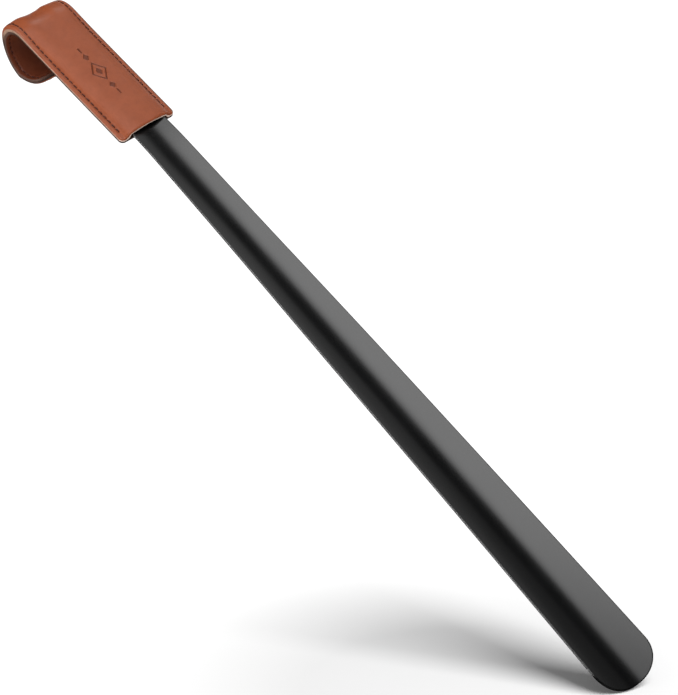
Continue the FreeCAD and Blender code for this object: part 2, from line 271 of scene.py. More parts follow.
def seam_relief(x, along, depth):
    """How far the leather is pulled in along the seam (mm, positive is in)."""
    distance, phase = seam_distance(x, along)
    wave = np.cos(2 * math.pi * phase)
    from_hole = np.minimum(phase, 1 - phase) * PITCH
    short = np.maximum(0.0, SEAM_START - along)     # the seam stops short of the mouth
    groove = depth * np.exp(-(distance / 0.75) ** 2) * (0.62 - 0.38 * wave)
    # each stitch goes down at its own end
    pit = 0.42 * np.exp(-(np.hypot(distance, from_hole - 0.72) / 0.42) ** 2)
    swell = -0.07 * np.exp(-((distance - 1.55) / 0.6) ** 2) * (0.6 - 0.4 * wave)
    return groove * (short < 0.6) + pit + swell * (short < 2.0)


def stitch_press(x, along):
    """Darkening of the leather under the stitches."""
    distance, phase = seam_distance(x, along)
    return 0.34 * np.exp(-(distance / 0.60) ** 2) * (0.5 - 0.5 * np.cos(2 * math.pi * phase))


# ----------------------------------------------------------------- mesh makers
def smooth_mesh(name, points, faces):
    mesh = bpy.data.meshes.new(name)
    mesh.from_pydata((points * MM).tolist(), [], faces)
    mesh.polygons.foreach_set("use_smooth", np.ones(len(faces), bool))
    mesh.update()
    return mesh


def add_object(name, mesh, orient, materials):
    """Turns the faces outwards with orient(bmesh) and links the mesh as an object."""
    work = bmesh.new()
    work.from_mesh(mesh)
    orient(work)
    work.to_mesh(mesh)
    work.free()
    mesh.update()
    for material in materials:
        mesh.materials.append(material)
    made = bpy.data.objects.new(name, mesh)
    scene.collection.objects.link(made)
    return made


def flip_if_inside_out(work):
    if work.calc_volume(signed=True) < 0:
        bmesh.ops.reverse_faces(work, faces=work.faces)


def perimeter(ids):
    """Ids round the border of a grid, anticlockwise in plan (row 0 first)."""
    return np.concatenate([ids[0], ids[1:, -1], ids[-1, -2::-1], ids[-2:0:-1, 0]])


def strip_grid(half_width, rows, cols, inset):
    """Plan grid of a strip with its border inset, its true outline and outward normals.

    rows are places along the strip, cols run from -1 to 1 across it.
    """
    full = np.stack([cols[None, :] * half_width(rows)[:, None],
                     np.repeat(rows[:, None], len(cols), 1)], -1)
    border = perimeter(np.arange(len(rows) * len(cols)).reshape(len(rows), len(cols)))
    outline = full.reshape(-1, 2)[border]
    heading = unit(np.roll(outline, -1, 0) - np.roll(outline, 1, 0))
    normals = np.stack([heading[:, 1], -heading[:, 0]], 1)
    placed = full.copy()
    placed.reshape(-1, 2)[border] = outline - normals * inset
    left, right = placed[:, 0], placed[:, -1]
    grid = left[:, None] + (cols[None, :, None] + 1) / 2 * (right - left)[:, None]
    grid[[0, -1]] = placed[[0, -1]]
    return grid, outline, normals


def sheet_object(name, materials, half_width, rows, cols, inset, top_at, bottom_at, profile,
                 face_rings=0, far_face_rings=0, press=None, edge_paint_and_painted_light=None):
    """Builds a closed sheet with materials for its top, edge and bottom.

    top_at, bottom_at: plan points to 3-D points in mm
    profile: (inset, depth) of the edge rings, depth 0 at the top face and 1 at the bottom
    face_rings: edge bands that keep the top material, far_face_rings on the +x side
    press and the edge value: plan points to attribute values, press for the top face alone; the edge
    value paints light and shade onto the cut edge
    """
    grid, outline, normals = strip_grid(half_width, rows, cols, inset)
    flat = grid.reshape(-1, 2)
    count = len(flat)
    ids = np.arange(count).reshape(grid.shape[:2])
    border = perimeter(ids)

    plans = [flat, flat]
    points = [top_at(*flat.T), bottom_at(*flat.T)]
    loops = [border]
    for i, (ring_inset, depth) in enumerate(profile):
        plan = outline - normals * ring_inset
        top = top_at(*plan.T)
        plans.append(plan)
        points.append(top + (bottom_at(*plan.T) - top) * depth)
        loops.append(np.arange(len(border)) + 2 * count + i * len(border))
    loops.append(border + count)
    points = np.concatenate(points)

    first = ids[:-1, :-1].ravel()
    row = len(cols)
    top_faces = np.stack([first, first + 1, first + row + 1, first + row], 1)
    bottom_faces = np.stack([first, first + row, first + row + 1, first + 1], 1) + count
    kept_rings = np.where(normals[:, 0] > 0.6, far_face_rings, face_rings)
    faces, slots = [top_faces], [np.zeros(len(top_faces), int)]
    for i, (upper, lower) in enumerate(zip(loops[:-1], loops[1:])):
        faces.append(np.stack([upper, lower, np.roll(lower, -1), np.roll(upper, -1)], 1))
        slots.append((i >= kept_rings).astype(int))
    faces.append(bottom_faces)
    slots.append(np.full(len(bottom_faces), 2))

    mesh = smooth_mesh(name, points, np.concatenate(faces).tolist())
    mesh.polygons.foreach_set("material_index", np.concatenate(slots).astype(np.int32))
    if press is not None:
        values = np.zeros(len(points))
        values[:count] = press(*flat.T)
        mesh.attributes.new("press", "FLOAT", "POINT").data.foreach_set("value", values)
    if edge_paint_and_painted_light is not None:
        values = edge_paint_and_painted_light(*np.concatenate(plans).T)
        mesh.attributes.new("edge_paint_and_painted_light", "FLOAT", "POINT").data.foreach_set("value", values)
    return add_object(name, mesh, flip_if_inside_out, materials)


def quarter_round(inset, depth, steps):
    """Edge rings down a quarter ellipse from the face to the cut edge."""
    angles = [i / steps * math.pi / 2 for i in range(1, steps + 1)]
    return [(inset * (1 - math.sin(a)), depth * (1 - math.cos(a))) for a in angles]


# -------------------------------------------------------------------- the horn
def monotone_slopes(table):
    """Slopes at the table's stations for a cubic that doesn't overshoot."""
    run = np.diff(table[:, 0])
    rise = np.diff(table[:, 1]) / run
    after = 2 * run[1:] + run[:-1]
    before = run[1:] + 2 * run[:-1]
    inner = (after + before) / (after / rise[:-1] + before / rise[1:])
    return np.concatenate([rise[:1], inner, rise[-1:]])


WIDTH_SLOPES = monotone_slopes(HORN_WIDTHS)


def blade_half_width(below):
    """Half width of the steel at a distance below the mouth, before the tip rounds off."""
    place = np.clip(below / HORN_LEN, 0, 1)
    at, width = HORN_WIDTHS.T
    i = np.clip(np.searchsorted(at, place, side="right") - 1, 0, len(at) - 2)
    run = at[i + 1] - at[i]
    t = (place - at[i]) / run
    return ((1 + 2 * t) * (1 - t) ** 2 * width[i]
            + t * (1 - t) ** 2 * run * WIDTH_SLOPES[i]
            + t * t * (3 - 2 * t) * width[i + 1]
            + t * t * (t - 1) * run * WIDTH_SLOPES[i + 1]) / 2


# centre line of the blade: distance below the mouth, lean, y and z from the mouth
line_at = np.linspace(0, HORN_LEN + 2, 1200)
line_lean = LEAN_TOP * ease(line_at / BEND_RUN) + (LEAN_TIP - LEAN_TOP) * line_at / HORN_LEN
mid_lean = (line_lean[1:] + line_lean[:-1]) / 2
line_y = np.concatenate([[0], np.cumsum(np.sin(mid_lean) * np.diff(line_at))])
line_z = -np.concatenate([[0], np.cumsum(np.cos(mid_lean) * np.diff(line_at))])


def trough_radius(below):
    """Radius of the front face across the trough; negative below is in the sleeve."""
    half = blade_half_width(below)
    depth = SHANK_DEPTH + (TIP_DEPTH - SHANK_DEPTH) * np.clip(below / HORN_LEN, 0, 1)
    rim = half
    for _ in range(30):                     # settles on the front face's own half width
        radius = (rim * rim + depth * depth) / (2 * depth)
        rim = half - STEEL * np.minimum(1, rim / radius)
    return radius


def horn_point(arc, below, lift):
    """arc: length across the sheet, lift: from mid-sheet towards the front."""
    radius = trough_radius(below)
    angle = arc / (radius + STEEL / 2)
    reach = radius + STEEL / 2 - lift
    x = reach * np.sin(angle)
    height = radius - reach * np.cos(angle)         # above the trough bottom
    down = np.maximum(below, 0.0)
    lean = np.interp(down, line_at, line_lean)
    y = -R_STEEL_FRONT + np.interp(down, line_at, line_y) - height * np.cos(lean)
    z = -STRAIGHT + np.interp(down, line_at, line_z) - height * np.sin(lean)
    in_sleeve = sleeve(x, np.maximum(-below, 0.0), R_STEEL_FRONT + height)
    return np.where((below >= 0)[..., None], np.stack([x, y, z], -1), in_sleeve)


def horn_half_arc(below):
    """Half width of the sheet as arc length, with its rounded ends."""
    radius = trough_radius(below)
    tip = np.clip((below - (HORN_LEN - TIP_LEN)) / TIP_LEN, 0, 1)
    core = np.clip((-below - S_CORE) / CORE_HALF, 0, 1)
    half = blade_half_width(below) * (1 - tip ** TIP_EXP) ** (1 / TIP_EXP) \
        * np.sqrt(1 - core * core)
    return (radius + STEEL / 2) * np.arcsin(half / (radius + STEEL))


def horn_rows():
    """Places along the horn, closer round both ends and at the bend below the mouth."""
    tip_start = HORN_LEN - TIP_LEN
    tip_turn = np.linspace(0, math.radians(88.2), 54)
    tip = tip_start + TIP_LEN * np.sin(tip_turn) ** (2 / TIP_EXP)
    bend_from, bend_to = -8, 30
    body = np.arange(-S_CORE, tip_start, 2.0)
    body = np.unique(np.concatenate([body[(body < bend_from) | (body >= bend_to)],
                                     np.arange(bend_from, bend_to, 1.0)]))
    core = -(S_CORE + CORE_HALF * np.sin(np.linspace(math.radians(87.5), 0, 24)))
    rows = np.concatenate([core[:-1], body, tip])
    return rows[np.concatenate([[True], np.diff(rows) > 1e-4])]


def build_horn(steel):
    edge_radius = 0.52
    upper = quarter_round(edge_radius, edge_radius / STEEL, steps=6)
    lower = [(inset, 1 - depth) for inset, depth in reversed(upper)]
    cols = np.sort(np.concatenate([np.linspace(-1, 1, 61), [-0.992, -0.982, 0.982, 0.992]]))
    return sheet_object(
        "horn", (steel, steel, steel), horn_half_arc, horn_rows(), cols, edge_radius,
        top_at=lambda arc, below: horn_point(arc, below, STEEL / 2),
        bottom_at=lambda arc, below: horn_point(arc, below, -STEEL / 2),
        profile=upper + [(-0.015, 0.5)] + lower)


# ----------------------------------------------------------------- the leather
FRONT_INSET = 1.55                      # rounding of the panel rims, in from the outline
BACK_INSET = 0.75
ORNAMENT_X = 0.4                        # centre of the tooled motif
ORNAMENT_ALONG = 47.0


def sleeve_half(along):
    """Half width of the sleeve with its mouth corners, taper and rounded end."""
    corner = np.clip((MOUTH_R - along) / MOUTH_R, 0, 1)
    half = HALF_WIDTH - MOUTH_R * (1 - np.sqrt(1 - corner * corner))
    half = half - TAPER * np.maximum(0.0, along - S_TAPER)
    end = np.clip((along - S_ROUND) / END_LEN, 0, 1)
    return half * (1 - end ** END_EXP) ** (1 / END_EXP)


def ornament(x, along, grow=0.0):
    """Tooled motif: three lozenges on a line with a bar at each end, 1 where pressed."""
    x = x - ORNAMENT_X
    along = along - ORNAMENT_ALONG

    def pressed(distance):
        return 1.0 - ease((distance - grow) / 0.28)

    def lozenge(centre, half_length, half_width):
        scale = half_length * half_width / math.hypot(half_length, half_width)
        return (np.abs(along - centre) / half_length + np.abs(x) / half_width - 1.0) * scale

    marks = [pressed(np.abs(lozenge(0.0, half_length=7.2, half_width=4.4)) - 0.26),
             pressed(lozenge(0.0, half_length=3.0, half_width=1.8) + 0.1)]
    for side in (-1, 1):
        bar = np.maximum(np.abs(x) - 0.3, np.maximum(side * along - 20.6, 16.6 - side * along))
        marks += [pressed(lozenge(side * 12.6, half_length=2.6, half_width=1.9) + 0.1),
                  pressed(bar)]
    return np.maximum.reduce(marks)


def leather_rows():
    """Places along the panels, closer over the motif and round the corners."""
    step, motif_step = 0.34, 0.19
    motif_from, motif_to = 25.0, 69.0
    turn = np.linspace(math.asin(0.62 ** (END_EXP / 2)), math.radians(88.4), 70)
    return np.concatenate([
        MOUTH_R * (1 - np.cos(np.linspace(0, math.pi / 2, 12))),
        np.arange(MOUTH_R + step, motif_from, step),
        np.arange(motif_from, motif_to, motif_step),
        np.arange(motif_to, S_ROUND + 0.6 * END_LEN, step),
        S_ROUND + END_LEN * np.sin(turn) ** (2 / END_EXP)])


def leather_cols():
    """Places across the panels, closer over the motif and in the seam bands."""
    motif, band = 5.4, 14.2
    side = np.concatenate([np.linspace(motif, band, 24)[:-1], np.linspace(band, HALF_WIDTH, 22)])
    middle = np.linspace(-motif, motif, 58)[1:-1]
    return np.concatenate([-side[::-1], middle, side]) / HALF_WIDTH


def rim_profile(inset, depth, steps):
    """Rounded rim, then the cut down to the other panel, drawn in a little at the bottom."""
    return quarter_round(inset, depth, steps) + [
        (-0.02, depth + (1 - depth) * 0.45), (0.04, 0.90), (0.10, 0.975)]


def off_rim(x):
    """Fades the unevenness of the faces out towards the sides."""
    return ease((HALF_WIDTH - np.abs(x)) / 4.0)


def build_front(materials):
    def top(x, along):
        base = sleeve(x, along, R_FRONT_OUT)
        soft = 0.12 * value_noise(base, seed=3, scale=15.0) \
            + 0.03 * value_noise(base, seed=7, scale=4.5)
        marks = ornament(x, along)
        # leather raised round the tool marks
        raised = np.clip(ornament(x, along, grow=0.32) - marks, 0.0, 1.0)
        return sleeve(x, along, R_FRONT_OUT + face_rise(x, along) + soft * off_rim(x)
                      - seam_relief(x, along, depth=0.17) - 0.42 * marks + 0.10 * raised)

    def bottom(x, along):
        return sleeve(x, along, R_FRONT_IN + cavity_rise(x, along))

    def press(x, along):
        return np.maximum(ornament(x, along), stitch_press(x, along))

    def edge_paint_and_painted_light(x, along):
        # painted light and shade on the cut edge: 0 at the mouth gives its painted highlight; it
        # darkens in steps along the strap into the crook, and all along the +x side, where the edge
        # would lie in shade
        lengthwise = 0.2 * ease((along - 1.5) / 2.5) + 0.2 * ease((along - 82.0) / 18.0) \
            + 0.6 * ease((along - 114.0) / 12.0)
        far_side_shade = 0.86 * ease((x - 15.5) / 2.0) * ease((along - 0.8) / 1.5)
        return np.maximum(lengthwise, far_side_shade)

    return sheet_object(
        "front_panel", materials, sleeve_half, leather_rows(), leather_cols(), FRONT_INSET,
        top, bottom, rim_profile(FRONT_INSET, depth=0.80, steps=8),
        face_rings=6, far_face_rings=2, press=press, edge_paint_and_painted_light=edge_paint_and_painted_light)


def build_back(materials):
    def top(x, along):
        """The face turned to the crook axis."""
        base = sleeve(x, along, R_BACK_IN)
        soft = 0.07 * value_noise(base, seed=11, scale=12.0) \
            + 0.03 * value_noise(base, seed=17, scale=3.5)
        bend = ease((along - STRAIGHT + 6) / 12.0)
        crown = 0.40 * (1 - ease((np.abs(x) - 4) / 9.0)) * (1 - bend)
        wander = 1.6 * value_noise(base * np.array([1, 0, 0]), seed=23, scale=6.0)
        crease = 0.05 * bend * np.sin(along / 1.35 + wander) \
            * (1 - ease((np.abs(x) - 10) / 4.0))
        return sleeve(x, along, R_BACK_IN - (soft + crown + crease) * off_rim(x)
                      + seam_relief(x, along, depth=0.16))

    def bottom(x, along):
        return sleeve(x, along, R_BACK_OUT)

    def edge_paint_and_painted_light(x, along):
        # painted highlight: the inner cut edge turns lighter in the crook, where it would catch the
        # light
        return ease((along - 100.0) / 12.0)

    return sheet_object(
        "back_panel", materials, sleeve_half, leather_rows(), leather_cols(), BACK_INSET,
        top, bottom, rim_profile(BACK_INSET, depth=0.50, steps=6),
        face_rings=2, far_face_rings=2, press=stitch_press, edge_paint_and_painted_light=edge_paint_and_painted_light)


# ------------------------------------------------------------------ the thread
THREAD_SIDES = 15
THREAD_STEPS = 5                        # curve points per span of the stitch path
THREAD_RADIUS = np.array([              # fraction of the stitch, radius
    (0, 0.20), (0.18, 0.24), (0.34, 0.32), (0.5, 0.35), (0.66, 0.32), (0.82, 0.24), (1, 0.20)])
STITCH_SKEW = 0.07                      # stitches lie slightly across the line


def catmull(points, steps):
    """Catmull-Rom curve through the points."""
    ends = np.concatenate([[2 * points[0] - points[1]], points, [2 * points[-1] - points[-2]]])
    t = np.linspace(0, 1, steps, endpoint=False)[:, None]
    spans = [0.5 * (2 * p1 + (p2 - p0) * t + (2 * p0 - 5 * p1 + 4 * p2 - p3) * t ** 2
                    + (3 * p1 - p0 - 3 * p2 + p3) * t ** 3)
             for p0, p1, p2, p3 in zip(ends, ends[1:], ends[2:], ends[3:])]
    return np.concatenate(spans + [ends[-2][None]])


def stitch_path(start, end, start_normal, end_normal, sink):
    """Curve of one stitch between two holes, and the direction across it."""
    chord = end - start
    normal = unit(start_normal + end_normal)
    across = np.cross(unit(chord), normal)

    def leg(hole, hole_normal, way):
        """Up out of a hole; each row is the distance along, the depth and the skew."""
        tangent = way * unit(chord - hole_normal * (chord @ hole_normal))
        rows = ((0.50, 1.35, 0.0), (0.58, 0.80, 0.0), (0.92, sink + 0.05, way * STITCH_SKEW))
        return [hole + tangent * advance - hole_normal * depth + across * skew
                for advance, depth, skew in rows]

    middle = (start + end) / 2 - normal * (sink - 0.10)
    path = leg(start, start_normal, 1) + [middle] + leg(end, end_normal, -1)[::-1]
    return catmull(np.array(path), THREAD_STEPS), across


def stitch_points(path, across):
    """Rings of three-ply twisted thread round the path, then its two end points."""
    tangent = unit(np.gradient(path, axis=0))
    normal = unit(np.cross(np.tile(across, (len(path), 1)), tangent))
    binormal = np.cross(tangent, normal)
    radius = np.interp(np.linspace(0, 1, len(path)), THREAD_RADIUS[:, 0], THREAD_RADIUS[:, 1])
    angle = np.linspace(0, 2 * math.pi, THREAD_SIDES, endpoint=False)[None, :, None]
    twist = distances_along(path)[:, None, None] * 2.1
    lobes = 1.0 + 0.10 * np.cos(3 * (angle - twist))
    rings = path[:, None] + (normal[:, None] * np.cos(angle) + binormal[:, None] * np.sin(angle)) \
        * (radius[:, None, None] * lobes)
    bulge = 0.08
    return np.concatenate([rings.reshape(-1, 3), path[:1] - tangent[:1] * bulge,
                           path[-1:] + tangent[-1:] * bulge])


def stitch_faces(point_count):
    ring_count = (point_count - 2) // THREAD_SIDES
    faces = []
    for i in range(ring_count - 1):
        for j in range(THREAD_SIDES):
            here = i * THREAD_SIDES + j
            beside = i * THREAD_SIDES + (j + 1) % THREAD_SIDES
            faces.append((here, beside, beside + THREAD_SIDES, here + THREAD_SIDES))
    cap = ring_count * THREAD_SIDES
    last = cap - THREAD_SIDES
    for j in range(THREAD_SIDES):
        beside = (j + 1) % THREAD_SIDES
        faces.append((cap, beside, j))
        faces.append((cap + 1, last + j, last + beside))
    return faces


def build_thread(name, material, radius, outwards, sink):
    """All stitches on one face; outwards is 1 on the front panel and -1 on the back."""
    spots = sleeve(holes[:, 0], holes[:, 1], radius)
    normals = sleeve_normal(holes[:, 1]) * outwards
    stitches = [stitch_points(*stitch_path(*ends, sink=sink))
                for ends in zip(spots, spots[1:], normals, normals[1:])]
    count = len(stitches[0])
    pattern = stitch_faces(count)
    faces = [tuple(i * count + corner for corner in face)
             for i in range(len(stitches)) for face in pattern]
    mesh = smooth_mesh(name, np.concatenate(stitches), faces)
    return add_object(
        name, mesh, lambda work: bmesh.ops.recalc_face_normals(work, faces=work.faces),
        [material])


# ------------------------------------------------------------------- materials
class Shader:
    """Node tree of a material or world; inputs take a value or another node's socket."""

    def __init__(self, owner, output="ShaderNodeOutputMaterial"):
        owner.use_nodes = True
        self.owner = owner
        self.tree = owner.node_tree
        self.tree.nodes.clear()
        self.out = self.node(output)

    def feed(self, socket, value):
        if isinstance(value, bpy.types.NodeSocket):
            self.tree.links.new(value, socket)
        else:
            socket.default_value = value

    def node(self, kind, inputs=None, **settings):
        made = self.tree.nodes.new(kind)
        for key, value in settings.items():
            setattr(made, key, value)
        for key, value in (inputs or {}).items():
            self.feed(made.inputs[key], value)
        return made

    def coords(self):
        return self.node("ShaderNodeTexCoord").outputs["Object"]

    def attribute(self, name):
        return self.node("ShaderNodeAttribute", attribute_name=name).outputs["Fac"]

    def geometry(self, output):
        return self.node("ShaderNodeNewGeometry").outputs[output]

    def noise(self, at, scale, detail=3.0, rough=0.55, distortion=0.0):
        return self.node("ShaderNodeTexNoise", {
            "Scale": scale, "Detail": detail, "Roughness": rough,
            "Distortion": distortion, "Vector": at}).outputs["Fac"]

    def voronoi(self, at, scale, feature="F1"):
        return self.node("ShaderNodeTexVoronoi", {"Scale": scale, "Vector": at},
                         feature=feature).outputs["Distance"]

    def ramp(self, fac, stops):
        made = self.node("ShaderNodeValToRGB", {"Fac": fac})
        elements = made.color_ramp.elements
        while len(elements) > 1:
            elements.remove(elements[-1])
        elements[0].position, elements[0].color = stops[0]
        for position, color in stops[1:]:
            elements.new(position).color = color
        return made.outputs["Color"]

    def remap(self, value, span, to=(0.0, 1.0)):
        return self.node("ShaderNodeMapRange", {
            "From Min": span[0], "From Max": span[1], "To Min": to[0], "To Max": to[1],
            "Value": value}).outputs["Result"]

    def weighted_sum(self, values, weights):
        parts = [self.node("ShaderNodeMath", {0: value, 1: weight},
                           operation="MULTIPLY").outputs[0]
                 for value, weight in zip(values, weights)]
        return self.node("ShaderNodeMath", dict(enumerate(parts)), operation="ADD").outputs[0]

    def mix(self, fac, first, second):
        return self.node("ShaderNodeMix", data_type="RGBA").outputs[2] if False else \
            self._mix_color(fac, first, second)

    def _mix_color(self, fac, first, second):
        made = self.node("ShaderNodeMix", data_type="RGBA")
        for index, value in ((0, fac), (6, first), (7, second)):    # the colour sockets
            self.feed(made.inputs[index], value)
        return made.outputs[2]

    def mix_shader(self, fac, first, second):
        return self.node("ShaderNodeMixShader", {0: fac, 1: first, 2: second}).outputs[0]

    def bump(self, height, strength, distance, under=None):
        made = self.node("ShaderNodeBump", {
            "Strength": strength, "Distance": distance, "Height": height})
        if under is not None:
            self.feed(made.inputs["Normal"], under)
        return made.outputs["Normal"]

    def finish(self, surface):
        self.feed(self.out.inputs[0], surface)
        return self.owner

    def principled(self, color, rough, normal, specular):
        return self.finish(self.node("ShaderNodeBsdfPrincipled", {
            "Base Color": color, "Roughness": rough, "Normal": normal,
            "Specular IOR Level": specular}).outputs[0])


def new_shader(name):
    return Shader(bpy.data.materials.new(name))


def rgb(*channels):
    """sRGB 0..255 to linear."""
    def linear(value):
        value /= 255.0
        return value / 12.92 if value <= 0.04045 else ((value + 0.055) / 1.055) ** 2.4
    return (*map(linear, channels), 1.0)


def powder_coat():
    shader = new_shader("black_powder_coat")
    at = shader.coords()
    fine = shader.noise(at, scale=2600.0, detail=4.0, rough=0.6)
    peel = shader.noise(at, scale=700.0, detail=2.0, rough=0.5)
    large = shader.noise(at, scale=26.0, detail=3.0, rough=0.6)
    color = shader.mix(shader.remap(large, span=(0.3, 0.7)),
                       rgb(7, 7.3, 7.8), rgb(9.5, 9.8, 10.4))
    rough = shader.remap(shader.weighted_sum((fine, large), weights=(0.5, 0.5)),
                         span=(0.35, 0.65), to=(0.20, 0.235))
    normal = shader.bump(peel, strength=0.05, distance=0.00005)
    normal = shader.bump(fine, strength=0.10, distance=0.00001, under=normal)
    return shader.principled(color, rough, normal, specular=0.5)


def leather(name, base, dark, light, seed=0.0):
    shader = new_shader(name)
    at = shader.node("ShaderNodeMapping", {
        "Location": (seed, seed * 0.37, seed * 1.3),
        "Vector": shader.coords()}).outputs["Vector"]
    # slow mottling of the dye, fine flecks in the pores
    cloud = shader.noise(at, scale=55.0, detail=4.0, rough=0.6, distortion=0.3)
    mottle = shader.noise(at, scale=240.0, detail=5.0, rough=0.65)
    pores = shader.voronoi(at, scale=1900.0)
    color = shader.mix(shader.remap(cloud, span=(0.30, 0.72)), base, light)
    color = shader.mix(shader.remap(mottle, span=(0.42, 0.70), to=(0.0, 0.20)), color, dark)
    color = shader.mix(shader.remap(pores, span=(0.0, 0.22), to=(0.30, 0.0)), color, dark)
    # painted shade: hollows (low pointiness) are darkened as if they lay in shade, and tooled and
    # stitched places are darkest
    painted_hollow_shade = shader.remap(shader.geometry("Pointiness"), span=(0.40, 0.497), to=(0.85, 0.0))
    tooled = shader.remap(shader.attribute("press"), span=(0.15, 0.85), to=(0.0, 0.66))
    burnt = (dark[0] * 0.42, dark[1] * 0.36, dark[2] * 0.34, 1.0)
    color = shader.mix(tooled, shader.mix(painted_hollow_shade, color, dark), burnt)
    rough = shader.remap(shader.weighted_sum((mottle, cloud), weights=(0.6, 0.4)),
                         span=(0.35, 0.68), to=(0.34, 0.44))
    grain = shader.remap(shader.voronoi(at, scale=1250.0, feature="DISTANCE_TO_EDGE"),
                         span=(0.0, 0.22))
    fine = shader.noise(at, scale=3600.0, detail=3.0, rough=0.6)
    wrinkle = shader.noise(at, scale=330.0, detail=4.0, rough=0.6, distortion=0.6)
    normal = shader.bump(wrinkle, strength=0.10, distance=0.00030)
    normal = shader.bump(grain, strength=0.16, distance=0.00006, under=normal)
    normal = shader.bump(fine, strength=0.12, distance=0.00002, under=normal)
    return shader.principled(color, rough, normal, specular=0.22)


def leather_edge(name, stops):
    """Burnished, painted cut edge over fibre; an attribute picks from the stops, which paint light
    and shade onto the edge as well as its paint colour.
    """
    shader = new_shader(name)
    at = shader.coords()
    fibre = shader.noise(at, scale=420.0, detail=4.0, rough=0.6, distortion=0.4)
    fine = shader.noise(at, scale=2600.0, detail=3.0, rough=0.6)
    color = shader.ramp(shader.attribute("edge_paint_and_painted_light"), stops)
    color = shader.mix(shader.remap(fibre, span=(0.32, 0.70), to=(0.0, 0.35)),
                       color, rgb(60, 42, 34))
    color = shader.mix(shader.remap(fine, span=(0.45, 0.72), to=(0.0, 0.35)),
                       color, rgb(58, 40, 32))
    normal = shader.bump(fibre, strength=0.25, distance=0.00012)
    normal = shader.bump(fine, strength=0.30, distance=0.00004, under=normal)
    return shader.principled(color, 0.56, normal, specular=0.2)


def suede():
    """Flesh side of the leather, seen only inside the mouth."""
    shader = new_shader("leather_flesh_side")
    at = shader.coords()
    nap = shader.noise(at, scale=900.0, detail=5.0, rough=0.7, distortion=0.5)
    slow = shader.noise(at, scale=90.0, detail=3.0, rough=0.6)
    color = shader.mix(shader.remap(nap, span=(0.3, 0.7)), rgb(96, 62, 44), rgb(142, 100, 76))
    color = shader.mix(shader.remap(slow, span=(0.3, 0.7), to=(0.0, 0.4)),
                       color, rgb(84, 54, 38))
    normal = shader.bump(nap, strength=0.5, distance=0.00015)
    return shader.principled(color, 0.92, normal, specular=0.2)


def waxed_thread():
    shader = new_shader("waxed_thread")
    at = shader.coords()
    fibre = shader.noise(at, scale=5200.0, detail=3.0, rough=0.6, distortion=0.8)
    slow = shader.noise(at, scale=160.0, detail=2.0, rough=0.5)
    color = shader.mix(shader.remap(fibre, span=(0.35, 0.68)), rgb(52, 18, 11), rgb(80, 32, 20))
    color = shader.mix(shader.remap(slow, span=(0.4, 0.7), to=(0.0, 0.5)),
                       color, rgb(40, 13, 10))
    normal = shader.bump(fibre, strength=0.4, distance=0.00003)
    return shader.principled(color, 0.46, normal, specular=0.22)


# ------------------------------------------------------------------- assemble
steel = powder_coat()
tan = leather("tan_leather", base=rgb(130, 65, 37), dark=rgb(100, 45, 24),
              light=rgb(137, 71, 43))
lining = leather("tan_leather_lining", base=rgb(92, 44, 26), dark=rgb(66, 29, 17),
                 light=rgb(102, 52, 33), seed=0.31)
# outer cut edge: the light first stop is a painted highlight for the mouth, the middle stops the
# edge lit from the -x side, the last the dark edge paint where the edge lies in shade
edge_front = leather_edge("leather_cut_edge_outer", stops=[
    (0.0, rgb(232, 204, 188)), (0.2, rgb(172, 136, 116)), (0.4, rgb(160, 128, 108)),
    (1.0, rgb(60, 45, 38))])
# inner cut edge: from its dark paint to a lighter painted highlight in the crook
edge_back = leather_edge("leather_cut_edge_inner", stops=[
    (0.0, rgb(56, 38, 30)), (1.0, rgb(88, 62, 52))])
flesh = suede()
thread = waxed_thread()

horn = build_horn(steel)
front = build_front((tan, edge_front, flesh))
back = build_back((lining, edge_back, flesh))
needle = build_thread("needle_stitches", thread, R_FRONT_OUT + face_rise(*holes.T),
                      outwards=1.0, sink=0.12)
bobbin = build_thread("bobbin_stitches", thread, R_BACK_IN, outwards=-1.0, sink=0.30)

for piece, node, slot in ((horn, "steel_horn", "black_steel"),
                          (front, "leather_front_panel", "tan_leather"),
                          (back, "leather_back_panel", "tan_leather"),
                          (needle, "needle_thread", "thread"),
                          (bobbin, "bobbin_thread", "thread")):
    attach(piece, "root")
    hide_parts(node)

# ---------------------------------------------------------- camera (in metres)
# the camera's own axes, which also place the lights and the floor
RIGHT = Vector((0.76281801, -0.10413308, -0.63817316))
UP = Vector((0.47329755, -0.58253032, 0.66079335))
BACK = Vector((-0.44056566, -0.80611086, -0.39507869))
MOUTH = Vector((0.0, -R_FRONT_OUT * MM, -STRAIGHT * MM))
CENTRE = Vector((0.0, 0.005, -0.25))    # what the lights aim at


def placed(position, axes):
    """Matrix of a thing at a position with the given x, y and z axes."""
    return Matrix.Translation(position) @ Matrix(axes).transposed().to_4x4()


camera_data = bpy.data.cameras.new("camera")
camera_data.sensor_width = 36.0
camera_data.lens = 158.03741
camera_data.clip_start = 0.05
camera_data.clip_end = 50.0
camera = bpy.data.objects.new("camera", camera_data)
scene.collection.objects.link(camera)
camera.matrix_world = placed(MOUTH + Vector((-0.74068, -1.33566539, -0.83687554)),
                             (RIGHT, UP, BACK))
scene.camera = camera


# --------------------------------------------------------------------- lights
def camera_direction(right, up, back):
    return RIGHT * right + UP * up + BACK * back


def area_light(name, matrix, width, height):
    data = bpy.data.lights.new(name, "AREA")
    data.shape = "RECTANGLE"
    data.size = width
    data.size_y = height
    lamp = bpy.data.objects.new(name, data)
    scene.collection.objects.link(lamp)
    lamp.matrix_world = matrix
    return lamp


def aimed_light(name, direction, distance, width, height, power):
    """Area light facing CENTRE from a direction on the camera's axes."""
    position = CENTRE + camera_direction(*direction).normalized() * distance
    turn = (position - CENTRE).to_track_quat("Z", "Y").to_matrix().to_4x4()
    lamp = area_light(name, Matrix.Translation(position) @ turn, width, height)
    lamp.data.energy = power
    return lamp


